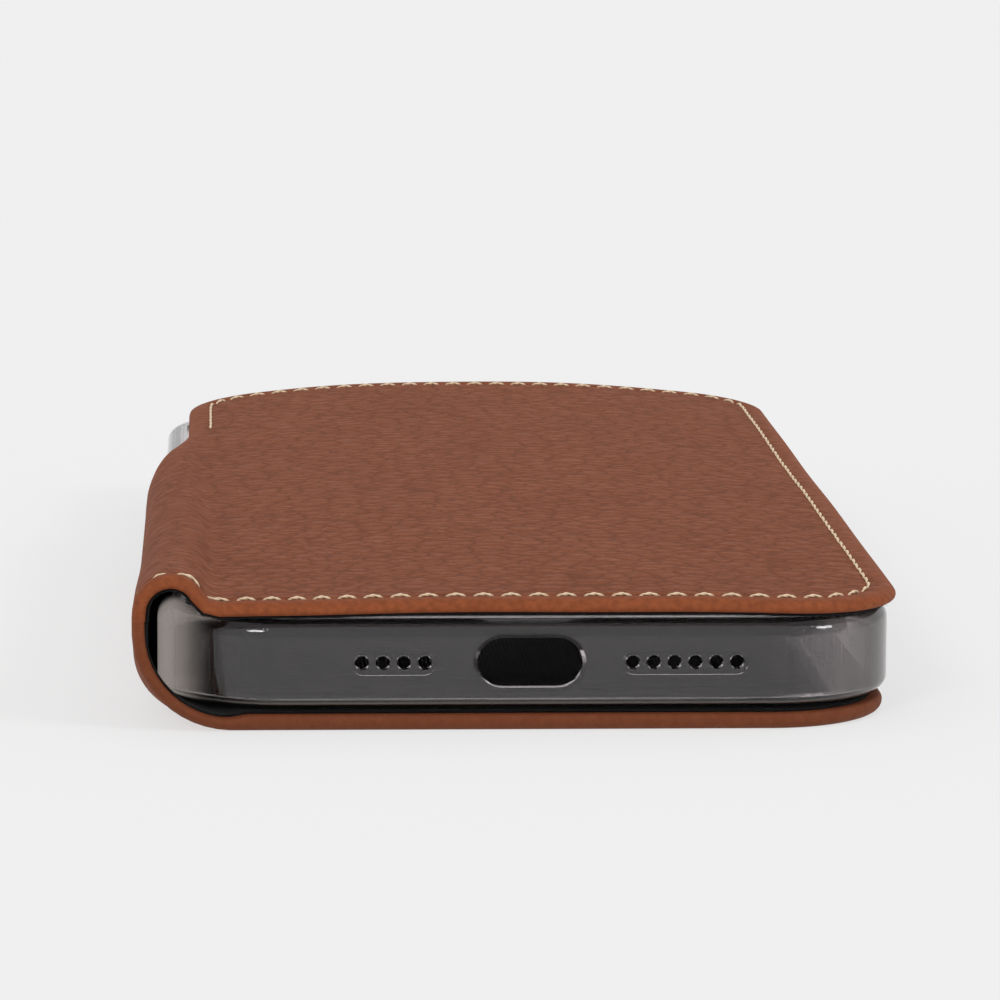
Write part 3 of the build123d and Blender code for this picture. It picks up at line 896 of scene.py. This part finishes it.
mouths = [low[0] + flap_u_of_x for low, high in pockets.values()]
pocket_pieces, pocket_edges, pocket_threads = [], [], []
for level, (node, (low, high)) in enumerate(pockets.items()):
    mouth = mouths[level]
    middle = (low[:2] + high[:2]) / 2 + (flap_u_of_x, 0)
    edge = Edge(rounded(middle, high[:2] - low[:2], 2.2), True, pocket_margin)
    top = hide + suede + 0.05 + 0.35 * level
    piece = sheet_object(f"pocket_{level + 1}", pocket_sheet(edge, mouth, top), in_flap, 1,
                         suede_finish)
    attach(piece, "flap")
    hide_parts(node)
    following = mouths[level + 1] if level < 2 else None
    thread_piece = stitches(f"pocket_thread_{level + 1}", edge, in_flap, 1, dark_thread_finish,
                            pocket_sewn(mouth, following, edge), top + 0.3, 1, 0.12, 0.25)
    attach(thread_piece, "flap")
    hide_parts("pocket_stitching")
    pocket_pieces.append(piece)
    pocket_edges.append(edge)
    pocket_threads.append(thread_piece)


# ---- Flat sizes of the sheets ----
def loop_area(loop):
    """Area inside a loop of points."""
    x, y = loop.T
    return abs(np.dot(x, np.roll(y, -1)) - np.dot(y, np.roll(x, -1))) / 2


def declare(edge, inset, hole=None):
    """Works out how large a sheet was cut, its edge this far inside the hide's; the result is not
    kept.
    """
    cut = edge.ring(inset)
    area = loop_area(cut) - (loop_area(hole.ring(0)) if hole else 0)


declare(flap_edge, 0)
declare(back_edge, 0, window_edge)
declare(flap_edge, 0.9)
declare(back_edge, 1.4, window_edge)
for piece, edge, thread_piece in zip(pocket_pieces, pocket_edges, pocket_threads):
    declare(edge, 0)

# ---- Finishes of the CAD pieces that stay ----
finishes = {
    "phone_tray": tpu_finish,
    "action_pad": tpu_finish,
    "volume_up_pad": tpu_finish,
    "volume_down_pad": tpu_finish,
    "power_pad": tpu_finish,
    "back_board": board_finish,
    "flap_board": board_finish,
    "tray_adhesive": glue_finish,
}
for node, finish in finishes.items():
    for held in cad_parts[node].material_slots:
        held.material = finish


# ---- Studio ----
def soft_sun(name, strength, spread, azimuth, elevation):
    """Distant soft light; azimuth runs to the right from straight ahead of the near edge."""
    lamp = bpy.data.lights.new(name, "SUN")
    lamp.energy = strength
    lamp.angle = math.radians(spread)
    thing = bpy.data.objects.new(name, lamp)
    bpy.context.scene.collection.objects.link(thing)
    thing.rotation_euler = (math.radians(90 - elevation), 0, math.radians(azimuth))


def floor():
    """Wide pale table top."""
    n = Nodes("floor_finish")
    at = n.add("TexCoord").outputs["Object"]
    tone = n.add("TexNoise", {"Vector": at, "Scale": 3.0, "Detail": 1}).outputs["Fac"]
    colour = n.mix(tone, (0.248, 0.248, 0.248), (0.252, 0.252, 0.252))
    shader = n.add("BsdfPrincipled", {"Base Color": colour, "Roughness": 0.9,
                                      "Specular IOR Level": 0.0,
                                      "Emission Color": (1, 1, 1, 1), "Emission Strength": 0.62})
    reach = 6000
    thing = new_object("floor", [(-reach, -reach, 0), (reach, -reach, 0), (reach, reach, 0),
                                 (-reach, reach, 0)], [(0, 1, 2, 3)], n.finish(shader.outputs[0]))
    thing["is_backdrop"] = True


floor()
world = bpy.data.worlds.new("studio")
world.use_nodes = True
world.node_tree.nodes["Background"].inputs[0].default_value = (1, 1, 1, 1)
world.node_tree.nodes["Background"].inputs[1].default_value = 0.75
bpy.context.scene.world = world
bpy.context.scene.view_settings.view_transform = "Standard"
soft_sun("left_front", 0.7, 14, -29, 33)
soft_sun("right_front", 0.7, 14, 60, 33)

# ---- Camera ----
yaw, pitch, roll = (math.radians(a) for a in (3.128, 8.80, 0.378))
ahead = np.array([math.sin(yaw) * math.cos(pitch), math.cos(yaw) * math.cos(pitch),
                  -math.sin(pitch)])
level = np.array([math.cos(yaw), -math.sin(yaw), 0])
upright = np.cross(level, ahead)
right = math.cos(roll) * level + math.sin(roll) * upright
upward = math.cos(roll) * upright - math.sin(roll) * level
lens = bpy.data.cameras.new("camera")
focal_length = 189.13
camera_at = np.array([-32.985, -639.67, 111.763]) * MM
lens.lens = focal_length
lens.clip_start, lens.clip_end = 0.01, 20
camera = bpy.data.objects.new("camera", lens)
bpy.context.scene.collection.objects.link(camera)
camera.matrix_world = Matrix([[*row, p] for row, p in zip(
    np.stack([right, upward, -ahead], 1), camera_at)] + [[0, 0, 0, 1]])
bpy.context.scene.camera = camera

low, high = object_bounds()
